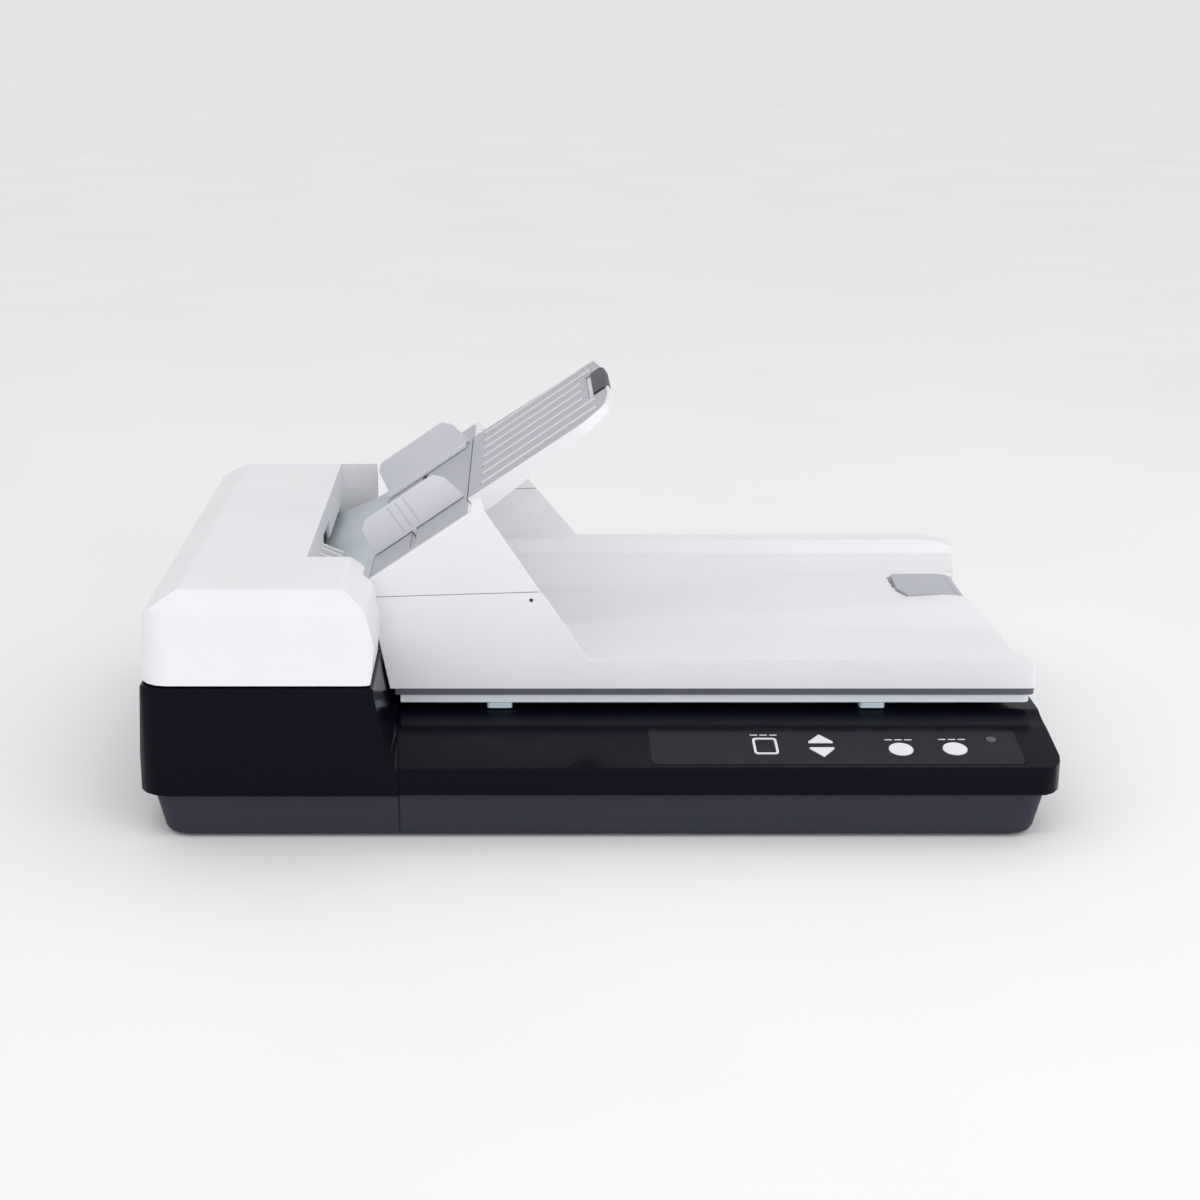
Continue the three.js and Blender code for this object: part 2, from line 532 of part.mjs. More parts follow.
const SIDE = { front: CORE_Y0 - 6, back: CORE_Y1 + 6 };
function sidePlate(y0) {
  const foot = DECK_Z + GAP;
  const body = alongY([[-244, foot], [-130, foot], [-130, 106], [-160, 106], [-200, 108], [-244, 104]], y0, y0 + 3);
  const holes = Object.values(ROLLERS).map(({ x, z }) =>
    rodAlong(Y, [x, 0, z], y0 - 1, y0 + 4, SHAFT_R + 0.3, 16));
  return holes.reduce((rest, hole) => rest.subtract(hole), body)
    .subtract(rodAlong(Y, [MOTOR.x, 0, MOTOR.z], y0 - 1, y0 + 4, SHAFT_R + 0.3, 16));
}
piece('feeder_plate_front', STEEL, sidePlate(SIDE.front));
piece('feeder_plate_back', STEEL, sidePlate(SIDE.back - 3));

// Each driven shaft carries rubber tyres and, outside the front plate, a belt wheel.
function drivenRoller({ x, z, r, hub }) {
  const y0 = SIDE.front - 12;
  const profile = [[y0, hub - 2], [y0 + 1, hub], [SIDE.front - 3, hub], [SIDE.front - 2, SHAFT_R]];
  for (const middle of [-60, 0, 60]) {
    const at = PAPER_MID_Y + middle;
    profile.push([at - 16, SHAFT_R], [at - 16, r], [at + 16, r], [at + 16, SHAFT_R]);
  }
  profile.push([SIDE.back + 2.5, SHAFT_R]);
  return turned(profile, [x, 0, z], Y, 16);
}
for (const [name, roller] of Object.entries(ROLLERS)) piece(name, RUBBER, drivenRoller(roller));
const WHEELS = [...Object.values(ROLLERS).map(({ x, z, hub }) => [x, z, hub]), [MOTOR.x, MOTOR.z, MOTOR.r]];
const feederBelt = alongY(loopAround(WHEELS, 1.7, 20), SIDE.front - 10, SIDE.front - 4)
  .subtract(alongY(loopAround(WHEELS, 0.4, 20), SIDE.front - 11, SIDE.front - 3));
piece('feeder_belt', RUBBER, feederBelt);
piece('motor_wheel', STEEL, turned([[SIDE.front - 12, 3], [SIDE.front - 11, MOTOR.r], [SIDE.front - 3, MOTOR.r],
  [SIDE.front - 2, 2], [SIDE.front + 5, 2]], [MOTOR.x, 0, MOTOR.z], Y, 16));

// ---- Feeder cover, hinged at its lower left edge ----
const COVER_SECTION = [[LEFT + 4.1, COVER_Z], [-125.6, COVER_Z], [-123.2, 113], [-127.5, 135, 12],
  [-141, COVER_TOP_Z, 7], [-231, COVER_TOP_Z, 8], [-250.3, 133.7, 5]];
const COVER_FRONT = [[FRONT, COVER_Z - 1], [BACK, COVER_Z - 1], [BACK, 136, 3], [154, COVER_TOP_Z + 0.1, 6],
  [-149.8, COVER_TOP_Z + 0.1, 4], [FRONT, 133.7, 3]];

function coverShape(inset, bottom) {
  const section = inset ? [[LEFT + 4.1 + inset, bottom], [-129, bottom], [-127, 113], [-131, 132],
    [-142, COVER_TOP_Z - inset], [-230, COVER_TOP_Z - inset], [-247, 133.2]] : COVER_SECTION;
  const front = inset ? [[FRONT + inset, bottom - 1], [BACK - inset, bottom - 1], [BACK - inset, 134],
    [153, COVER_TOP_Z - inset], [-148.5, COVER_TOP_Z - inset], [FRONT + inset, 132.7]] : COVER_FRONT;
  const plan = alongZ([[LEFT + 4.1 + inset, FRONT + inset, 16], [-122.5 - inset, FRONT + inset, 8],
    [-122.5 - inset, BACK - inset], [LEFT + 4.1 + inset, BACK - inset, 10]], COVER_Z - 5, COVER_TOP_Z + 5);
  return alongY(section, FRONT, BACK).intersect(alongX(front, LEFT - 1, -110)).intersect(plan);
}

function feederCover() {
  const notch = block(NOTCH.x, -100, NOTCH.y0, NOTCH.y1, COVER_Z - 5, COVER_TOP_Z + 5);
  const notchWall = block(NOTCH.x - WALL, -100, NOTCH.y0 - WALL, NOTCH.y1 + 1.6, COVER_Z - 6, COVER_TOP_Z + 6);
  const armSide = block(-133, -100, -103, BACK + 1, COVER_Z - 5, COVER_TOP_Z + 5);
  const armWall = block(-133 - WALL, -100, -103 - WALL, BACK + 2, COVER_Z - 6, COVER_TOP_Z + 6);
  const rearEnd = block(-142, -100, 100, BACK + 1, COVER_Z - 5, COVER_TOP_Z + 5);
  const hollow = coverShape(WALL, COVER_Z - 3).subtract(notchWall).subtract(armWall);
  const feedSlot = block(NOTCH.x - 6, NOTCH.x + 1, CORE_Y0 - 1, CORE_Y1 + 1, COVER_Z - 5, 119)
    .add(block(NOTCH.x - 6, NOTCH.x + 1, PAPER_MID_Y - 20, PAPER_MID_Y + 20, COVER_Z - 5, 131));
  const driveSlot = block(NOTCH.x - 6, -130, SIDE.front - 14, SIDE.front + 1, COVER_Z - 5, 110)
    .add(block(NOTCH.x - 6, NOTCH.x + 1, SIDE.front - 2, NOTCH.y1 - 1, COVER_Z - 5, 110));
  let body = coverShape(0, COVER_Z).subtract(notch).subtract(armSide).subtract(rearEnd).subtract(hollow)
    .subtract(feedSlot).subtract(driveSlot);
  for (const y of GUIDE_RIBS) {
    body = body.add(alongY([[NOTCH.x - 1, 119.5], [NOTCH.x + 11, 119.5], [NOTCH.x + 13, 121], [NOTCH.x - 1, 127]],
      y, y + 2.4));
  }
  return body;
}
const GUIDE_RIBS = [-36, -24, -12, 0, 9];
piece('feeder_cover', WHITE, feederCover());

// Outer paper guide and the roller carrier inside the cover.
function coverGuide() {
  const bend = (r, from, to) => {
    const points = [];
    for (let k = 0; k <= 4; k++) {
      const turn = (from + (to - from) * k / 4) * Math.PI / 180;
      points.push([TURN.x + r * Math.cos(turn), TURN.z + r * Math.sin(turn)]);
    }
    return points;
  };
  const shell = alongY([...bend(27, 95, 158), ...bend(30, 158, 95)], CORE_Y0, CORE_Y1);
  return shell.add(block(-218, -215, CORE_Y0, CORE_Y1, 112, COVER_TOP_Z - WALL - GAP));
}
piece('cover_guide', LIGHT_GREY, coverGuide());
const FEED = { x: -197, z: 118.6, r: 10.5 };
const PICK = { x: -176, z: 121.5, r: 8.6 };
function feedRoller({ x, z, r }, half) {
  const profile = [[-26, 2.5], [-half, 2.5], [-half, r], [half, r], [half, 2.5], [26, 2.5]];
  return turned(profile, [x, PAPER_MID_Y, z], Y, 20);
}
piece('feed_roller', RUBBER, feedRoller(FEED, 17));
piece('pickup_roller', RUBBER, feedRoller(PICK, 14));
function rollerCarrier() {
  const arm = (y0) => [FEED, PICK].reduce(
    (rest, { x, z }) => rest.subtract(rodAlong(Y, [x, 0, z], y0 - 1, y0 + 4, 2.8, 12)),
    alongY([[-204, 114], [-171, 116], [-170, 133], [-204, 133]], y0, y0 + 2.4));
  const top = block(-204, -170, PAPER_MID_Y - 24, PAPER_MID_Y + 24, 132, 135);
  const stem = block(-196, -180, PAPER_MID_Y - 12, PAPER_MID_Y + 12, 134, 142);
  return top.add(stem).add(arm(PAPER_MID_Y - 24)).add(arm(PAPER_MID_Y + 21.6));
}
piece('roller_carrier', DARK_GREY, rollerCarrier());

// ---- Lid: document pad, tray shell and feed housing ----
// Right-hand end of the lid in plan: hollowed, so that a hand reaches the sheets.
const LID_END = [[LID.x1, LID.y0, 3.5], [LID.x1 - 2, -86, 4], [LID.x1 - 11, -72, 8], [249, -30, 10],
  [241, -4, 12], [238.8, 9, 5], [239.6, 56, 8], [247.7, 91, 12], [254, 128, 10], [LID.x1 - 1.5, 150, 6], [LID.x1, LID.y1, 5]];
function lidPlan(inset, x0 = LID.x0 + inset) {
  const end = LID_END.map(([x, y, r]) => [x - inset, y, r]);
  end[0][1] += inset;
  end[end.length - 1][1] -= inset;
  return [[x0, LID.y0 + inset], ...end, [x0, LID.y1 - inset]];
}
function trayHeight(x, y) {
  const frontFloor = mix(79, LID_RIM_Z - 1, (x + 110) / 360);
  const ridge = mix(80, 93.2, x / 225);
  const fall = clamp((x - 236) / 25) ** 2;
  if (y <= -91) return LID_RIM_Z - 3.5 * fall;
  if (y < -33) return frontFloor - 3.5 * fall;
  if (y < 3) return mix(frontFloor, ridge, smooth((y + 33) / 36)) - 3.5 * fall;
  if (y <= 63) return ridge - 2 * clamp((x - 226) / 14) ** 2;
  if (y < 100) return mix(ridge, LID_RIM_Z - 1.5, smooth((y - 63) / 37));
  if (y < 144) return LID_RIM_Z - 1.5;
  return REAR_RIM_Z - 6.5 * fall;
}
const TRAY_XS = [LID.x0, -60, 0, 60, 120, 180, 225, 230, 235, 240, 245, 250, 255, LID.x1];
const TRAY_YS = [LID.y0, -91.4, -90.6, -82, -74, -66, -50, -33, -24, -15, -6, 3, 11, 57, 63, 72, 81, 90, 100, 120,
  138, 143, 146, LID.y1];
const cheek = (rim) =>
  [[LID.x0, LID.z0], [-3.4, LID.z0], [-3.4, rim], [-27.5, 121.5, 4], PARTING.right, PARTING.left];
const CHEEK_THICK = 3.6;
const STOPPER = { x0: 199, x1: 234, y0: 11, y1: 57, z: 93.2 };

function lidShell() {
  const outer = heightSlab(TRAY_XS, TRAY_YS, trayHeight, LID.z0)
    .intersect(alongZ(lidPlan(0), LID.z0 - 1, REAR_RIM_Z + 1));
  const shrink = (list) => list.map((value) => Math.min(Math.max(value, list[0] + WALL), list.at(-1) - WALL));
  const inner = heightSlab([...new Set(shrink(TRAY_XS))], [...new Set(shrink(TRAY_YS))],
    (x, y) => trayHeight(x, y) - 3, LID.z0 - 1).intersect(alongZ(lidPlan(WALL), LID.z0 - 2, REAR_RIM_Z + 1));
  const cheeks = alongY(cheek(LID_RIM_Z), LID.y0, LID.y0 + CHEEK_THICK)
    .add(alongY(cheek(REAR_RIM_Z), LID.y1 - CHEEK_THICK, LID.y1));
  const bed = alongZ(stopperPlan(-0.5), STOPPER.z - 3.2, 100)
    .add(block(STOPPER.x1 - 2.4, LID.x1, STOPPER.y0 - 0.5, STOPPER.y1 + 0.5, STOPPER.z - 7.6, 100))
    .add(block(STOPPER.x0 - 3, STOPPER.x0 + 2, STOPPER.y0 + 20, STOPPER.y1 - 1, STOPPER.z - 5.6, 100, 1));
  const under = rectangle(STOPPER.x0 - 7, STOPPER.x1 - 3, STOPPER.y0 - 4, STOPPER.y1 + 4);
  const support = block(STOPPER.x0 - 7, STOPPER.x1 + 1, STOPPER.y0 - 4, STOPPER.y1 + 4, 80, STOPPER.z - 6)
    .add(alongZ(under, STOPPER.z - 7, STOPPER.z - 3.4));
  return outer.subtract(inner).add(cheeks).add(support).subtract(bed);
}
piece('lid_shell', WHITE, lidShell());
// The plate and the pad are notched at the back, where the hinges stand.
const withoutHinges = (body) => HINGE_XS.reduce(
  (rest, x) => rest.subtract(block(x - 12, x + 12, 146, BACK, 50, LID.z0)), body);
const underPlate = alongZ(lidPlan(0.5, -116.3), 63.2, LID.z0 - GAP)
  .subtract(block(-112, 232, LID.y0 + 4, 142, 64.8, LID.z0, 3));
piece('lid_under_plate', DARK_GREY, withoutHinges(underPlate));
piece('document_pad', PAD, withoutHinges(alongZ(lidPlan(2.5, -113.3), 57.8, 62.9)));
for (const [name, x] of [['lid_bumper_left', -55], ['lid_bumper_right', 164.5]]) {
  piece(name, PAD, block(x - 7.5, x + 7.5, LID.y0 + 3, LID.y0 + 13, DECK_Z + 0.6, 57.5, 2));
}

// Tongue plate that stands up out of the output tray to stop the sheets.
function stopperPlan(inset) {
  const { x0, x1, y0, y1 } = STOPPER;
  return [[x0 - 1.5 + inset, y0 + 13 + inset], [x0 + 3 + inset, y0 + inset], [x1 - inset, y0 + inset],
    [x1 - inset, y1 - inset], [x0 + inset, y1 - inset, 3]];
}
function stopper() {
  const { x1, y0, y1, z } = STOPPER;
  const top = alongY([[150, z - 2.7], [x1 + 4.2, z - 2.7], [x1 + 4.2, z - 2.2], [x1 + 1, z - 0.6],
    [x1 - 5, z + 0.2], [150, z + 0.2]], y0, y1);
  const plate = alongZ(stopperPlan(0), z - 4, z + 1).add(block(x1 - 1, x1 + 5, y0, y1, z - 4, z + 1)).intersect(top);
  const knuckle = rodAlong(Y, [x1, 0, z - 1.4], y0 + 4, y1 - 4, 1.7, 12);
  return plate.add(knuckle);
}
piece('stopper', MID_GREY, stopper());

// Feed housing: two side plates and the bed's carrier.
const SLOTS = [[-83, -12], [78, 149]];
const SLOT_S = [27.4, 31.6];
function trayHousing() {
  const lift = 0.4;
  const foot = [PARTING.left, PARTING.right].map(([x, z]) => [x, z + lift]);
  const frontSide = [...foot, [-63.4, 174], [-65.6, 182.6, 2.5], [-70.4, 181, 1.5], [-71.5, 173.6], onBed(0, 0)];
  const backSide = [...foot, onBed(BED_LENGTH + 4, 0, 4), onBed(0, 0)];
  const bed = bedSection([[0, -7], [BED_LENGTH, -7], [BED_LENGTH, -2], [0, -2]], LID.y0 + 1, LID.y1 - 1);
  let body = alongY(frontSide, LID.y0, LID.y0 + CHEEK_THICK)
    .add(alongY(backSide, LID.y1 - CHEEK_THICK, LID.y1)).add(bed);
  for (const slot of SLOTS) body = body.subtract(bedPlate(rectangle(...SLOT_S, ...slot), -9, 1));
  return body.subtract(rodAlong(OFF_BED, [...pinionCentre()], -12, 2, 3.3, 12));
}
function pinionCentre() {
  const [x, z] = onBed(30, 0);
  return [x, PAPER_MID_Y, z];
}
piece('tray_housing', WHITE, trayHousing());
function feedBed() {
  let body = bedSection([[0.5, -1.7], [BED_LENGTH - 0.5, -1.7], [BED_LENGTH - 0.5, -0.2], [0.5, -0.2]],
    LID.y0 + 4, LID.y1 - 4);
  for (const slot of SLOTS) body = body.subtract(bedPlate(rectangle(...SLOT_S, ...slot), -9, 1));
  return body;
}
piece('feed_bed', MID_GREY, feedBed());

// Side guides: a fence, a foot on the bed, and a rack under it.
const FENCE = [[0.5, 0.3, 0], [65.5, 0.3, 0], [62, 16, 4], [57, 21.3, 5], [7.5, 21.3, 4], [3.4, 17.5, 3]];
const RACK_N = [-11.5, -8];
function sideGuide(side) {
  const at = (d) => PAPER_MID_Y + side * d;
  const between = (a, b) => [Math.min(at(a), at(b)), Math.max(at(a), at(b))];
  const fence = bedSection(FENCE, ...between(GUIDE_Y, GUIDE_Y - 3.2));
  const foot = bedSection([[1, 0.2], [63, 0.2], [63, 1.9], [1, 1.9]], ...between(GUIDE_Y - 1, GUIDE_Y - 16));
  const stem = bedSection([[28, -9], [31, -9], [31, 1], [28, 1]], ...between(GUIDE_Y, GUIDE_Y - 8));
  const rackStart = side < 0 ? 21.5 : 34.9;
  const rack = bedSection([[rackStart, RACK_N[0]], [rackStart + 3.6, RACK_N[0]], [rackStart + 3.6, RACK_N[1]],
    [rackStart, RACK_N[1]]], ...between(GUIDE_Y, -42));
  const bridge = bedSection(rectangle(Math.min(rackStart, 25.5), Math.max(rackStart + 3.6, 34.5), ...RACK_N),
    ...between(GUIDE_Y, GUIDE_Y - 8));
  let body = fence.add(foot).add(stem).add(rack).add(bridge);
  for (const s of [23.7, 29.3, 34.8]) {
    body = body.subtract(bedSection([[s - 0.5, 2.5], [s + 0.5, 2.5], [s + 0.5, 20], [s - 0.5, 20]],
      ...between(GUIDE_Y + 1, GUIDE_Y - 0.7)));
  }
  return body;
}
piece('guide_front', LIGHT_GREY, sideGuide(-1));
piece('guide_back', LIGHT_GREY, sideGuide(1));
const PINION = [[-11.6, 4.4], [-8, 4.4], [-7.3, 3], [-2.3, 3]];
piece('guide_pinion', DARK_GREY, turned(PINION, pinionCentre(), OFF_BED, 16));

// ---- Input tray with ribs, and its pull-out extension ----
const TRAY_MID_Y = 28;
const RIB_PITCH = 23.3;
const GRIP_HALF = 32;
function trayPlan(inset, start = TRAY_START + inset) {
  const end = TRAY_END - inset;
  return [[start, -57 + inset], [150 - 0.3 * inset, -61 + inset, 20], [end - 3.5, -50 + 0.8 * inset, 12],
    [end, -24 + 0.2 * inset, 20], [end, 55, 30], [end - 5, 101.5 - inset, 4], [start, 117 - inset]];
}
// Each rib: [middle y, where it ends along the slope]; those by the grip are shorter.
const RIBS = [-3, -2, -1, 0, 1, 2, 3].map((k) =>
  [TRAY_MID_Y + k * RIB_PITCH, TRAY_END - (Math.abs(k) < 2 ? 17 : 9) - (k === 3 ? 2 : 0)]);
const ribRun = (y, end, grow) => [TRAY_START + 9 - grow, end + grow, y - 1 - grow, y + 1 + grow];

function inputTray() {
  const sideView = bedSection([[TRAY_START, -0.2], [TRAY_END + 1, -0.2], [TRAY_END + 1, -4.6],
    [TRAY_START + 8, -12], [TRAY_START + 2, -12], [TRAY_START, -8]], -100, 170);
  let body = bedPlate(trayPlan(0), -20, 1, 5).intersect(sideView);
  const recess = bedPlate(trayPlan(1.8, TRAY_START - 1), -1.4, 2, 5);
  const under = bedPlate(trayPlan(3), -20, -3.2, 5).subtract(
    bedPlate(rectangle(TRAY_START, TRAY_END, TRAY_MID_Y - 36, TRAY_MID_Y + 36), -20, 2));
  body = body.subtract(under).subtract(recess);
  for (const [y, end] of RIBS) {
    const [s0, s1, y0, y1] = ribRun(y, end, 0);
    body = body.add(bedSection([[s0, -1.6], [s1, -1.6], [s1 - 1.2, 0.8], [s0 + 1.2, 0.8]], y0, y1));
  }
  const sleeve = bedSection([[90, -3.4], [TRAY_END + 3, -3.4], [TRAY_END + 3, -6.8], [90, -6.8]],
    TRAY_MID_Y - GRIP_HALF - 0.5, TRAY_MID_Y + GRIP_HALF + 0.5);
  const gripSeat = bedPlate(rectangle(TRAY_END - 11, TRAY_END + 2, TRAY_MID_Y - GRIP_HALF - 0.5,
    TRAY_MID_Y + GRIP_HALF + 0.5), -20, 2);
  const belly = bedSection([[84, -9], [TRAY_END + 2, -9], [TRAY_END + 2, -6], [84, -6]],
    TRAY_MID_Y - GRIP_HALF + 2, TRAY_MID_Y + GRIP_HALF - 2);
  return body.subtract(sleeve).subtract(gripSeat).subtract(belly);
}
piece('input_tray', WHITE, inputTray());
function ribPlate() {
  let body = bedPlate(trayPlan(2.1, TRAY_START), -1.1, -0.1, 5);
  for (const [y, end] of RIBS) body = body.subtract(bedPlate(rectangle(...ribRun(y, end, 0.3)), -2, 1));
  const gripSeat = bedPlate(rectangle(TRAY_END - 14, TRAY_END + 2, TRAY_MID_Y - GRIP_HALF - 3,
    TRAY_MID_Y + GRIP_HALF + 3), -20, 2);
  return body.subtract(gripSeat);
}
piece('rib_plate', MID_GREY, ribPlate());
function trayExtension() {
  const end = TRAY_END - 0.8;
  const blade = bedSection([[94, -3.8], [end - 1, -3.8], [end - 1, -6], [94, -6]],
    TRAY_MID_Y - GRIP_HALF, TRAY_MID_Y + GRIP_HALF);
  const grip = bedSection([[end - 9.8, -6], [end, -6], [end, -0.6, 1.5], [end - 2, 0.9], [end - 9.8, 0.9, 1.5]],
    TRAY_MID_Y - GRIP_HALF, TRAY_MID_Y + GRIP_HALF);
  return blade.add(grip);
}
piece('tray_extension', DARK_GREY, trayExtension());

// ---- Lid hinges: an arm under the lid and a socket in the base ----
const HINGE = { y: 156.5, z: 61 };
HINGE_XS.forEach((x, k) => {
  const side = k ? 'right' : 'left';
  const socket = block(x - 10.6, x + 10.6, 148.4, 161.3, 31, 52.8)
    .add(alongX([[150, 52], [161, 52], [161, HINGE.z, 4], [152, HINGE.z + 4, 3]], x - 10, x - 5.3))
    .add(alongX([[150, 52], [161, 52], [161, HINGE.z, 4], [152, HINGE.z + 4, 3]], x + 5.3, x + 10))
    .subtract(rodAlong(X, [x, HINGE.y, HINGE.z], -12, 12, 1.9, 12));
  piece(`hinge_socket_${side}`, DARK_GREY, socket);
  const arm = block(x - 4.9, x + 4.9, 152, 160.5, 57.5, LID.z0 - GAP)
    .add(rodAlong(X, [x, HINGE.y, HINGE.z], -9.5, 9.5, 1.6, 12));
  piece(`hinge_arm_${side}`, DARK_GREY, arm);
});

export default scanner;
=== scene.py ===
"""Looks of the flatbed document scanner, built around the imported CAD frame. Metres, +Z up."""
import json
import math

import bmesh
import bpy
from mathutils import Matrix, Vector


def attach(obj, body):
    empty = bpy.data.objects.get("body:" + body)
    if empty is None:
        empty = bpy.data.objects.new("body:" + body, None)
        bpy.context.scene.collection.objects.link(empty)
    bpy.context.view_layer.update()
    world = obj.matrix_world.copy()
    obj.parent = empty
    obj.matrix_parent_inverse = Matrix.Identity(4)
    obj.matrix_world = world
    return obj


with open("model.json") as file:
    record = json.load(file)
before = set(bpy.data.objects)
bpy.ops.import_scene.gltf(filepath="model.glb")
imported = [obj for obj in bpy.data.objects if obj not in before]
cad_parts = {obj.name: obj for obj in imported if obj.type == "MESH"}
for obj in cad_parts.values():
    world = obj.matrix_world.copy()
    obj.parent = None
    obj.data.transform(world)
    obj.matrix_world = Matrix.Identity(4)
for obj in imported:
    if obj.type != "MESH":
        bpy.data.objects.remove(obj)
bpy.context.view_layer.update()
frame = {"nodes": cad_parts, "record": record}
MM = 0.001

# ---------------------------------------------------------------- materials

NOISE_LOW, NOISE_HIGH = 0.3, 0.7  # the range that most of a noise texture's values lie in


def linear(grey_or_rgb):
    """sRGB values from 0 to 255 as a linear colour."""
    rgb = grey_or_rgb if isinstance(grey_or_rgb, tuple) else (grey_or_rgb,) * 3
    return tuple((v / 255 / 12.92) if v <= 10 else ((v / 255 + 0.055) / 1.055) ** 2.4 for v in rgb)


class Nodes:
    """Short calls for building a material's node tree."""

    def __init__(self, name):
        self.material = bpy.data.materials.new(name)
        self.material.use_nodes = True
        self.tree = self.material.node_tree
        self.shader = self.tree.nodes["Principled BSDF"]
        self.place = self.add("ShaderNodeTexCoord").outputs["Object"]

    def add(self, kind, **values):
        node = self.tree.nodes.new(kind)
        for key, value in values.items():
            setattr(node, key, value)
        return node

    def link(self, output, target):
        self.tree.links.new(output, target)

    def noise(self, scale, detail=3.0, roughness=0.5, stretch=None):
        node = self.add("ShaderNodeTexNoise")
        node.inputs["Scale"].default_value = scale
        node.inputs["Detail"].default_value = detail
        node.inputs["Roughness"].default_value = roughness
        place = self.place
        if stretch:
            mapping = self.add("ShaderNodeMapping")
            mapping.inputs["Scale"].default_value = stretch
            self.link(place, mapping.inputs["Vector"])
            place = mapping.outputs["Vector"]
        self.link(place, node.inputs["Vector"])
        return node.outputs["Fac"]

    def ramp(self, factor, low, high, start=NOISE_LOW, end=NOISE_HIGH):
        node = self.add("ShaderNodeValToRGB")
        node.color_ramp.elements[0].position = start
        node.color_ramp.elements[1].position = end
        node.color_ramp.elements[0].color = (*low, 1)
        node.color_ramp.elements[1].color = (*high, 1)
        self.link(factor, node.inputs["Fac"])
        return node.outputs["Color"]

    def spread(self, factor, low, high):
        """Stretches a noise over the range from low to high."""
        node = self.add("ShaderNodeMapRange")
        node.inputs["From Min"].default_value = NOISE_LOW
        node.inputs["From Max"].default_value = NOISE_HIGH
        node.inputs["To Min"].default_value = low
        node.inputs["To Max"].default_value = high
        self.link(factor, node.inputs["Value"])
        return node.outputs["Result"]

    def bump(self, height, strength, distance):
        node = self.add("ShaderNodeBump")
        node.inputs["Strength"].default_value = strength
        node.inputs["Distance"].default_value = distance
        self.link(height, node.inputs["Height"])
        self.link(node.outputs["Normal"], self.shader.inputs["Normal"])

    def set(self, **values):
        for key, value in values.items():
            self.shader.inputs[key.replace("_", " ")].default_value = value


def plastic(name, colour, roughness=0.45, grain=1400, grain_depth=0.012, mottle=0.02, coat=0.0, specular=0.5):
    """Moulded plastic: a faint large mottle in the colour, uneven gloss and a fine spark-eroded grain."""
    n = Nodes(name)
    base = linear(colour)
    low = tuple(v * (1 - mottle) for v in base)
    high = tuple(min(v * (1 + mottle), 1) for v in base)
    n.link(n.ramp(n.noise(14, 3), low, high), n.shader.inputs["Base Color"])
    n.link(n.spread(n.noise(60, 4), roughness - 0.04, roughness + 0.04), n.shader.inputs["Roughness"])
    n.bump(n.noise(grain, 4, 0.6), 0.35, grain_depth * MM)
    n.set(Coat_Weight=coat, Coat_Roughness=0.12, Specular_IOR_Level=specular)
    return n.material


def rubber(name, colour):
    """Matte rubber with dust-like mottle."""
    n = Nodes(name)
    base = linear(colour)
    n.link(n.ramp(n.noise(90, 5), tuple(v * 0.8 for v in base), tuple(v * 1.3 for v in base)),
           n.shader.inputs["Base Color"])
    n.link(n.spread(n.noise(200, 3), 0.75, 0.92), n.shader.inputs["Roughness"])
    n.bump(n.noise(1800, 3), 0.4, 0.02 * MM)
    return n.material


def brushed(name, colour, stretch=(1, 40, 40)):
    """Metal with fine brushing along X."""
    n = Nodes(name)
    base = linear(colour)
    lines = n.noise(60, 4, 0.6, stretch)
    n.link(n.ramp(lines, tuple(v * 0.85 for v in base), base), n.shader.inputs["Base Color"])
    n.link(n.spread(lines, 0.25, 0.42), n.shader.inputs["Roughness"])
    n.bump(lines, 0.15, 0.01 * MM)
    n.set(Metallic=1.0)
    return n.material


def glass(name):
    """Clear float glass with a faint green cast."""
    n = Nodes(name)
    tint = n.ramp(n.noise(8, 1), linear((214, 232, 230)), linear((222, 238, 236)))
    n.link(tint, n.shader.inputs["Base Color"])
    n.link(n.spread(n.noise(30, 2), 0.02, 0.05), n.shader.inputs["Roughness"])
    n.set(Transmission_Weight=0.9, IOR=1.5)
    return n.material


def circuit(name):
    """Green solder mask over a pattern of traces."""
    n = Nodes(name)
    cells = n.add("ShaderNodeTexVoronoi", feature="DISTANCE_TO_EDGE")
    cells.inputs["Scale"].default_value = 260
    n.link(n.place, cells.inputs["Vector"])
    n.link(n.ramp(cells.outputs["Distance"], linear((70, 150, 96)), linear((18, 84, 52)), 0.03, 0.08),
           n.shader.inputs["Base Color"])
    n.bump(cells.outputs["Distance"], 0.2, 0.05 * MM)
    n.set(Roughness=0.4)
    return n.material


WHITE = plastic("white_shell", (240, 239, 242), 0.42)
SLOTS = {
    "shell_white": WHITE,
    "case_black": plastic("black_case", (9, 10, 22), 0.2, grain=900, grain_depth=0.003, specular=0.07),
    "tub": plastic("tub_grain", (50, 51, 62), 0.5, grain=700, grain_depth=0.04, specular=0.15),
    "rubber": rubber("black_rubber", (34, 34, 36)),
    "black_part": plastic("black_part", (26, 26, 30), 0.45),
    "steel": brushed("steel", (176, 178, 182)),
    "circuit": circuit("circuit_board"),
    "glass": glass("clear_glass"),
    "gloss_black": plastic("gloss_overlay", (24, 24, 34), 0.12, grain=300, grain_depth=0.002, specular=0.12),
    "lens": plastic("smoked_lens", (52, 52, 58), 0.12, grain_depth=0.002, coat=0.6),
    "key_white": plastic("key_white", (238, 238, 240), 0.3, grain_depth=0.004),
    "dark_grey": plastic("dark_grey", (60, 60, 66), 0.5),
    "pale_guide": plastic("pale_guide", (205, 214, 219), 0.35),
    "light_grey": plastic("light_grey", (224, 224, 230), 0.42),
    "plate_grey": plastic("plate_grey", (92, 92, 106), 0.45),
    "pad": plastic("pad_face", (236, 245, 251), 0.55, grain=500, grain_depth=0.05),
    "bumper": plastic("bumper_face", (206, 220, 231), 0.6),
    "tray_grey": plastic("tray_grey", (184, 185, 193), 0.45),
    "grip": plastic("grip_dark", (54, 53, 62), 0.5, grain=500, grain_depth=0.05),
}

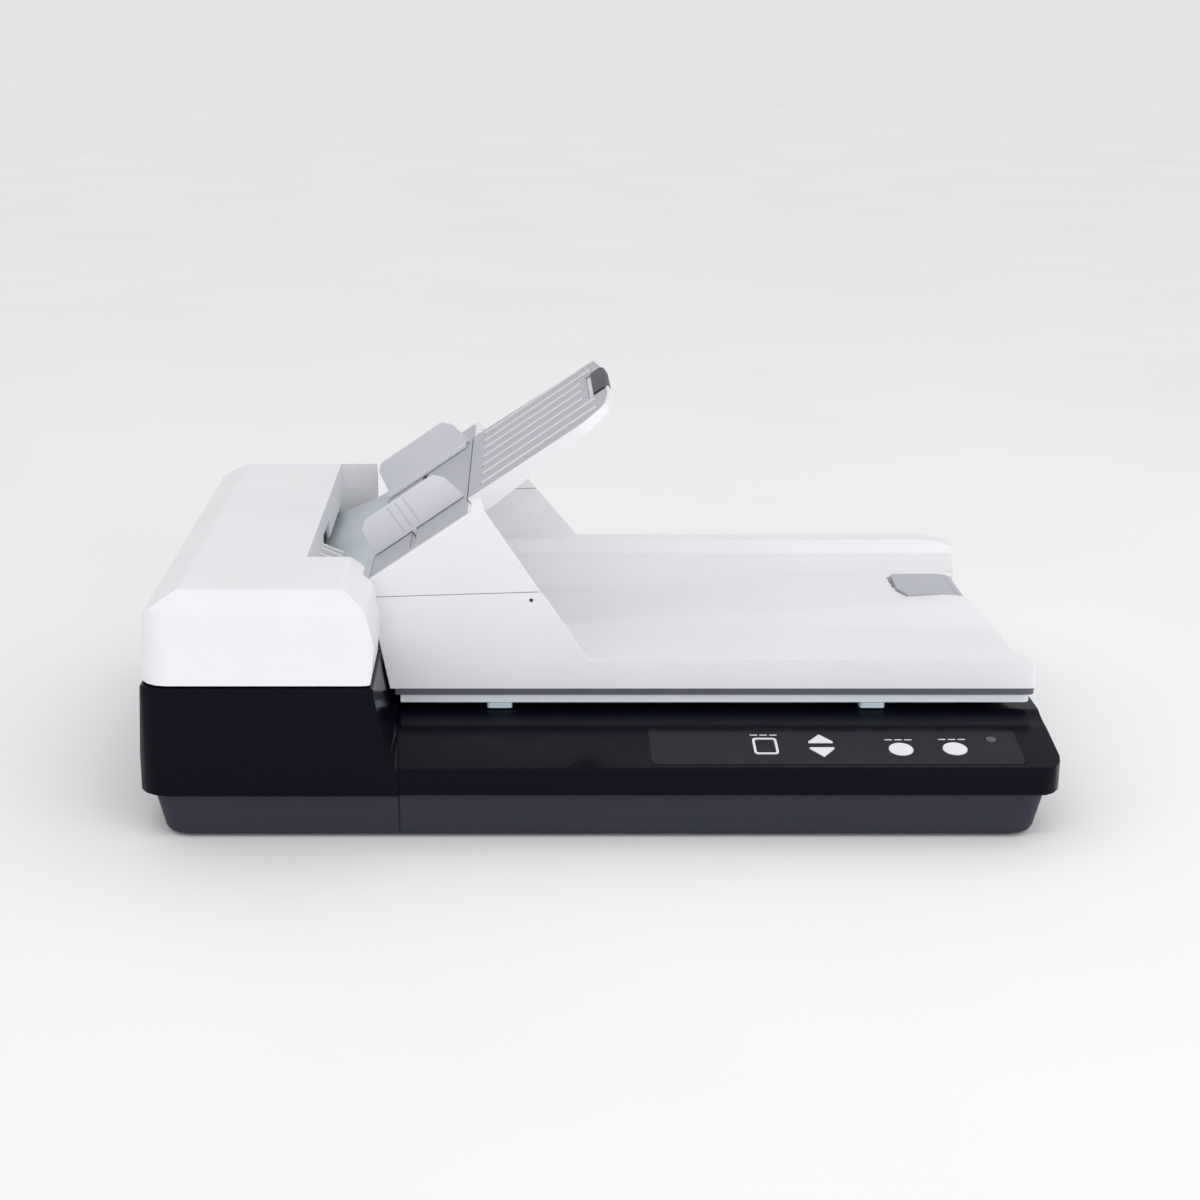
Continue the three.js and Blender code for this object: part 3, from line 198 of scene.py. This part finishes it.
# ---------------------------------------------------------------- carried-over CAD nodes

EDGE = {"shell_white": 1.0, "case_black": 1.0, "tub": 1.0}
FINE_EDGE = 0.3


def finish_node(obj, slot):
    """Gives a CAD node its material, and rounds its edges with modifiers."""
    obj.data.materials.clear()
    obj.data.materials.append(SLOTS[slot])
    if "custom_normal" in obj.data.attributes:
        obj.data.attributes.remove(obj.data.attributes["custom_normal"])
    obj.data.shade_smooth()
    weld = obj.modifiers.new("weld", "WELD")
    weld.merge_threshold = 0.01 * MM
    flat = obj.modifiers.new("flat", "DECIMATE")
    flat.decimate_type = "DISSOLVE"
    flat.angle_limit = math.radians(0.6)
    bevel = obj.modifiers.new("bevel", "BEVEL")
    bevel.width = EDGE.get(slot, FINE_EDGE) * MM
    bevel.segments = 3
    bevel.limit_method = "ANGLE"
    bevel.angle_limit = math.radians(30)
    bevel.use_clamp_overlap = True
    bevel.harden_normals = False
    weighted = obj.modifiers.new("weighted", "WEIGHTED_NORMAL")
    weighted.keep_sharp = True


slot_of = {part["node"]: part["material_slot"] for part in frame["record"]["subparts"]}
for name, obj in frame["nodes"].items():
    finish_node(obj, slot_of[name])

# ---------------------------------------------------------------- small details

MIDDLE_X = 2.2  # the CAD dimensions are measured from a plane this far left of the origin, in mm
PANEL_FRONT = (-160, 42)  # y and z of the key panel's front edge, in mm
PANEL_SLOPE = math.radians(9.2)
MARK_LOW, MARK_HIGH = 0.16, 0.24  # heights of the marks over the panel, in mm
PANEL_AXES = Matrix(((1, 0, 0), (0, math.cos(PANEL_SLOPE), math.sin(PANEL_SLOPE)),
                     (0, -math.sin(PANEL_SLOPE), math.cos(PANEL_SLOPE)))).transposed().to_4x4()
PANEL = Matrix.Translation((-MIDDLE_X * MM, PANEL_FRONT[0] * MM, PANEL_FRONT[1] * MM)) @ PANEL_AXES


def detail(name, bm, body, slot, bevel=0.0):
    """A finished bmesh as a piece that rides on a CAD body."""
    bmesh.ops.recalc_face_normals(bm, faces=bm.faces)
    mesh = bpy.data.meshes.new(name)
    bm.to_mesh(mesh)
    bm.free()
    mesh.materials.append(SLOTS[slot])
    mesh.shade_smooth()
    obj = bpy.data.objects.new(name, mesh)
    bpy.context.collection.objects.link(obj)
    if bevel:
        edge = obj.modifiers.new("bevel", "BEVEL")
        edge.width = bevel * MM
        edge.segments = 2
        edge.limit_method = "ANGLE"
        obj.modifiers.new("weighted", "WEIGHTED_NORMAL").keep_sharp = True
    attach(obj, body)
    return obj


def raised(bm, outline, low, high, matrix):
    """Adds a prism of an outline in mm, between two heights, placed by a matrix."""
    corners = [bm.verts.new(matrix @ Vector((u * MM, v * MM, low * MM))) for u, v in outline]
    face = bm.faces.new(corners)
    lifted = bmesh.ops.extrude_face_region(bm, geom=[face])["geom"]
    rise = matrix.to_3x3() @ Vector((0, 0, (high - low) * MM))
    bmesh.ops.translate(bm, verts=[g for g in lifted if isinstance(g, bmesh.types.BMVert)], vec=rise)


def rounded(u0, u1, v0, v1, r, steps=4):
    """Rectangle outline with round corners."""
    points = []
    left, right, near, far = u0 + r, u1 - r, v0 + r, v1 - r
    for cu, cv, start in ((right, far, 0), (left, far, 90), (left, near, 180), (right, near, 270)):
        for k in range(steps + 1):
            turn = math.radians(start + 90 * k / steps)
            points.append((cu + r * math.cos(turn), cv + r * math.sin(turn)))
    return points


def key_marks():
    """A row of three short bars above each named key, where the labels stand."""
    bm = bmesh.new()
    half_long, half_wide, pitch = 2.2, 0.55, 5.6
    for x, v in ((97, 38.6), (173.8, 33.2), (204.6, 33.6)):
        for shift in (-pitch, 0, pitch):
            u = x + shift
            bar = rounded(u - half_long, u + half_long, v - half_wide, v + half_wide, 0.5)
            raised(bm, bar, MARK_LOW, MARK_HIGH, PANEL)
    detail("key_marks", bm, "base", "key_white")


def screw(bm, matrix, radius=2.6, height=0.55):
    """A low screw head with a cross recess, its top towards the matrix's +Z."""
    sides = 24
    arm, width, depth = 0.62 * radius, 0.17 * radius, 0.6 * height
    cross = [(arm, -width), (arm, width), (width, width), (width, arm), (-width, arm), (-width, width),
             (-arm, width), (-arm, -width), (-width, -width), (-width, -arm), (width, -arm), (width, -width)]

    def ring(points, z):
        return [bm.verts.new(matrix @ Vector((u * MM, v * MM, z * MM))) for u, v in points]

    def round_ring(r, z):
        return ring([(r * math.cos(2 * math.pi * k / sides), r * math.sin(2 * math.pi * k / sides))
                     for k in range(sides)], z)

    def wall(lower, upper):
        for k in range(len(lower)):
            following = (k + 1) % len(lower)
            bm.faces.new((lower[k], lower[following], upper[following], upper[k]))

    foot = round_ring(radius, 0)
    rim = round_ring(radius, 0.6 * height)
    crown = round_ring(0.86 * radius, height)
    mouth, pit = ring(cross, height), ring(cross, height - depth)
    wall(foot, rim)
    wall(rim, crown)
    wall(pit, mouth)
    bm.faces.new(foot)
    bm.faces.new(pit)
    top = []
    for loop in (crown, mouth):
        top += [bm.edges.get((loop[k], loop[(k + 1) % len(loop)])) for k in range(len(loop))]
    bmesh.ops.triangle_fill(bm, edges=top, use_beauty=True)


def tub_screws():
    """Screws in the underside of the tub."""
    bm = bmesh.new()
    down = Matrix.Rotation(math.pi, 4, "X")
    for x in (-225, -75, 75, 225):
        for y in (-138, 138):
            screw(bm, Matrix.Translation((x * MM, y * MM, 1.25 * MM)) @ down)
    detail("tub_screws", bm, "base", "steel")


def housing_pins():
    """Small screws on the feed housing, one on each side plate."""
    bm = bmesh.new()
    x, z = -36.5 - MIDDLE_X, 121.4
    for y, turn in ((-95.05, math.pi / 2), (161.05, -math.pi / 2)):
        place = Matrix.Translation((x * MM, y * MM, z * MM)) @ Matrix.Rotation(turn, 4, "X")
        screw(bm, place, 1.1, 0.3)
    detail("housing_pins", bm, "lid", "dark_grey")


def rating_label():
    """Blank label with a raised frame on the back of the tub."""
    bm = bmesh.new()
    back = Matrix.Translation((20 * MM, 158.7 * MM, 15 * MM)) @ Matrix.Rotation(-math.pi / 2, 4, "X")
    raised(bm, rounded(-26, 26, -7, 7, 1.2), 0, 0.25, back)
    for v in (-4, 0, 4):
        raised(bm, rounded(-22, 8, v - 0.5, v + 0.5, 0.3), 0.25, 0.33, back)
    detail("rating_label", bm, "base", "tray_grey")


key_marks()
tub_screws()
housing_pins()
rating_label()

# ---------------------------------------------------------------- stage, light and camera

FLOOR_SIZE = 40


def stage_floor():
    """Plain pale floor, so wide that its far edge lies close to the horizon."""
    bpy.ops.mesh.primitive_plane_add(size=FLOOR_SIZE, location=(0, 0, 0))
    floor = bpy.context.object
    floor.name = "floor"
    n = Nodes("floor_white")
    n.link(n.ramp(n.noise(3, 2), linear(252), linear(255)), n.shader.inputs["Base Color"])
    n.set(Roughness=0.7)
    floor.data.materials.append(n.material)


def area_light(name, place, target, size, power, tint=(1, 1, 1)):
    data = bpy.data.lights.new(name, "AREA")
    data.shape = "RECTANGLE"
    data.size, data.size_y = size
    data.energy = power
    data.color = tint
    light = bpy.data.objects.new(name, data)
    light.location = place
    light.rotation_euler = (Vector(target) - Vector(place)).to_track_quat("-Z", "Y").to_euler()
    bpy.context.collection.objects.link(light)


DOME_LEAN = (0.3, 0.0, 1.0)
DOME_LOW = (0.9, 0.9, 0.91)
DOME_HIGH = (0.92, 0.92, 0.92)
DOME_STRENGTH = 0.86


def sky():
    """A nearly even white dome, a touch dimmer at the horizon and on the left."""
    world = bpy.data.worlds.new("studio")
    bpy.context.scene.world = world
    world.use_nodes = True
    tree = world.node_tree
    place = tree.nodes.new("ShaderNodeTexCoord")
    lean = tree.nodes.new("ShaderNodeVectorMath")
    lean.operation = "DOT_PRODUCT"
    lean.inputs[1].default_value = DOME_LEAN
    ramp = tree.nodes.new("ShaderNodeValToRGB")
    ramp.color_ramp.elements[0].position = 0.05
    ramp.color_ramp.elements[0].color = (*DOME_LOW, 1)
    ramp.color_ramp.elements[1].position = 0.75
    ramp.color_ramp.elements[1].color = (*DOME_HIGH, 1)
    tree.links.new(place.outputs["Generated"], lean.inputs[0])
    tree.links.new(lean.outputs["Value"], ramp.inputs["Fac"])
    tree.links.new(ramp.outputs["Color"], tree.nodes["Background"].inputs["Color"])
    tree.nodes["Background"].inputs["Strength"].default_value = DOME_STRENGTH


def studio():
    """Floor, dome, a softbox from the front right and a cool strip above."""
    stage_floor()
    sky()
    area_light("front_softbox", (1.1, -1.9, 0.9), (0, 0, 0.1), (2.0, 1.2), 11)
    area_light("edge_strip", (0.1, -0.75, 1.9), (0, -0.1, 0.1), (2.2, 0.1), 4.5, (0.86, 0.92, 1))
    bpy.context.scene.view_settings.view_transform = "Standard"


EYE = (-0.0452, -1.2185, 0.462)
LOOK_DOWN = 16.86
LENS, SENSOR = 60.9, 36
SIDE_SHIFT = 80 / 1200


def camera():
    """Looks down at the front from the left of the middle, with the object shifted sideways in the frame."""
    data = bpy.data.cameras.new("camera")
    data.sensor_width = SENSOR
    data.lens = LENS
    data.shift_x = SIDE_SHIFT
    eye = bpy.data.objects.new("camera", data)
    eye.location = EYE
    eye.rotation_euler = (math.radians(90 - LOOK_DOWN), 0, 0)
    bpy.context.collection.objects.link(eye)
    bpy.context.scene.camera = eye


studio()
camera()
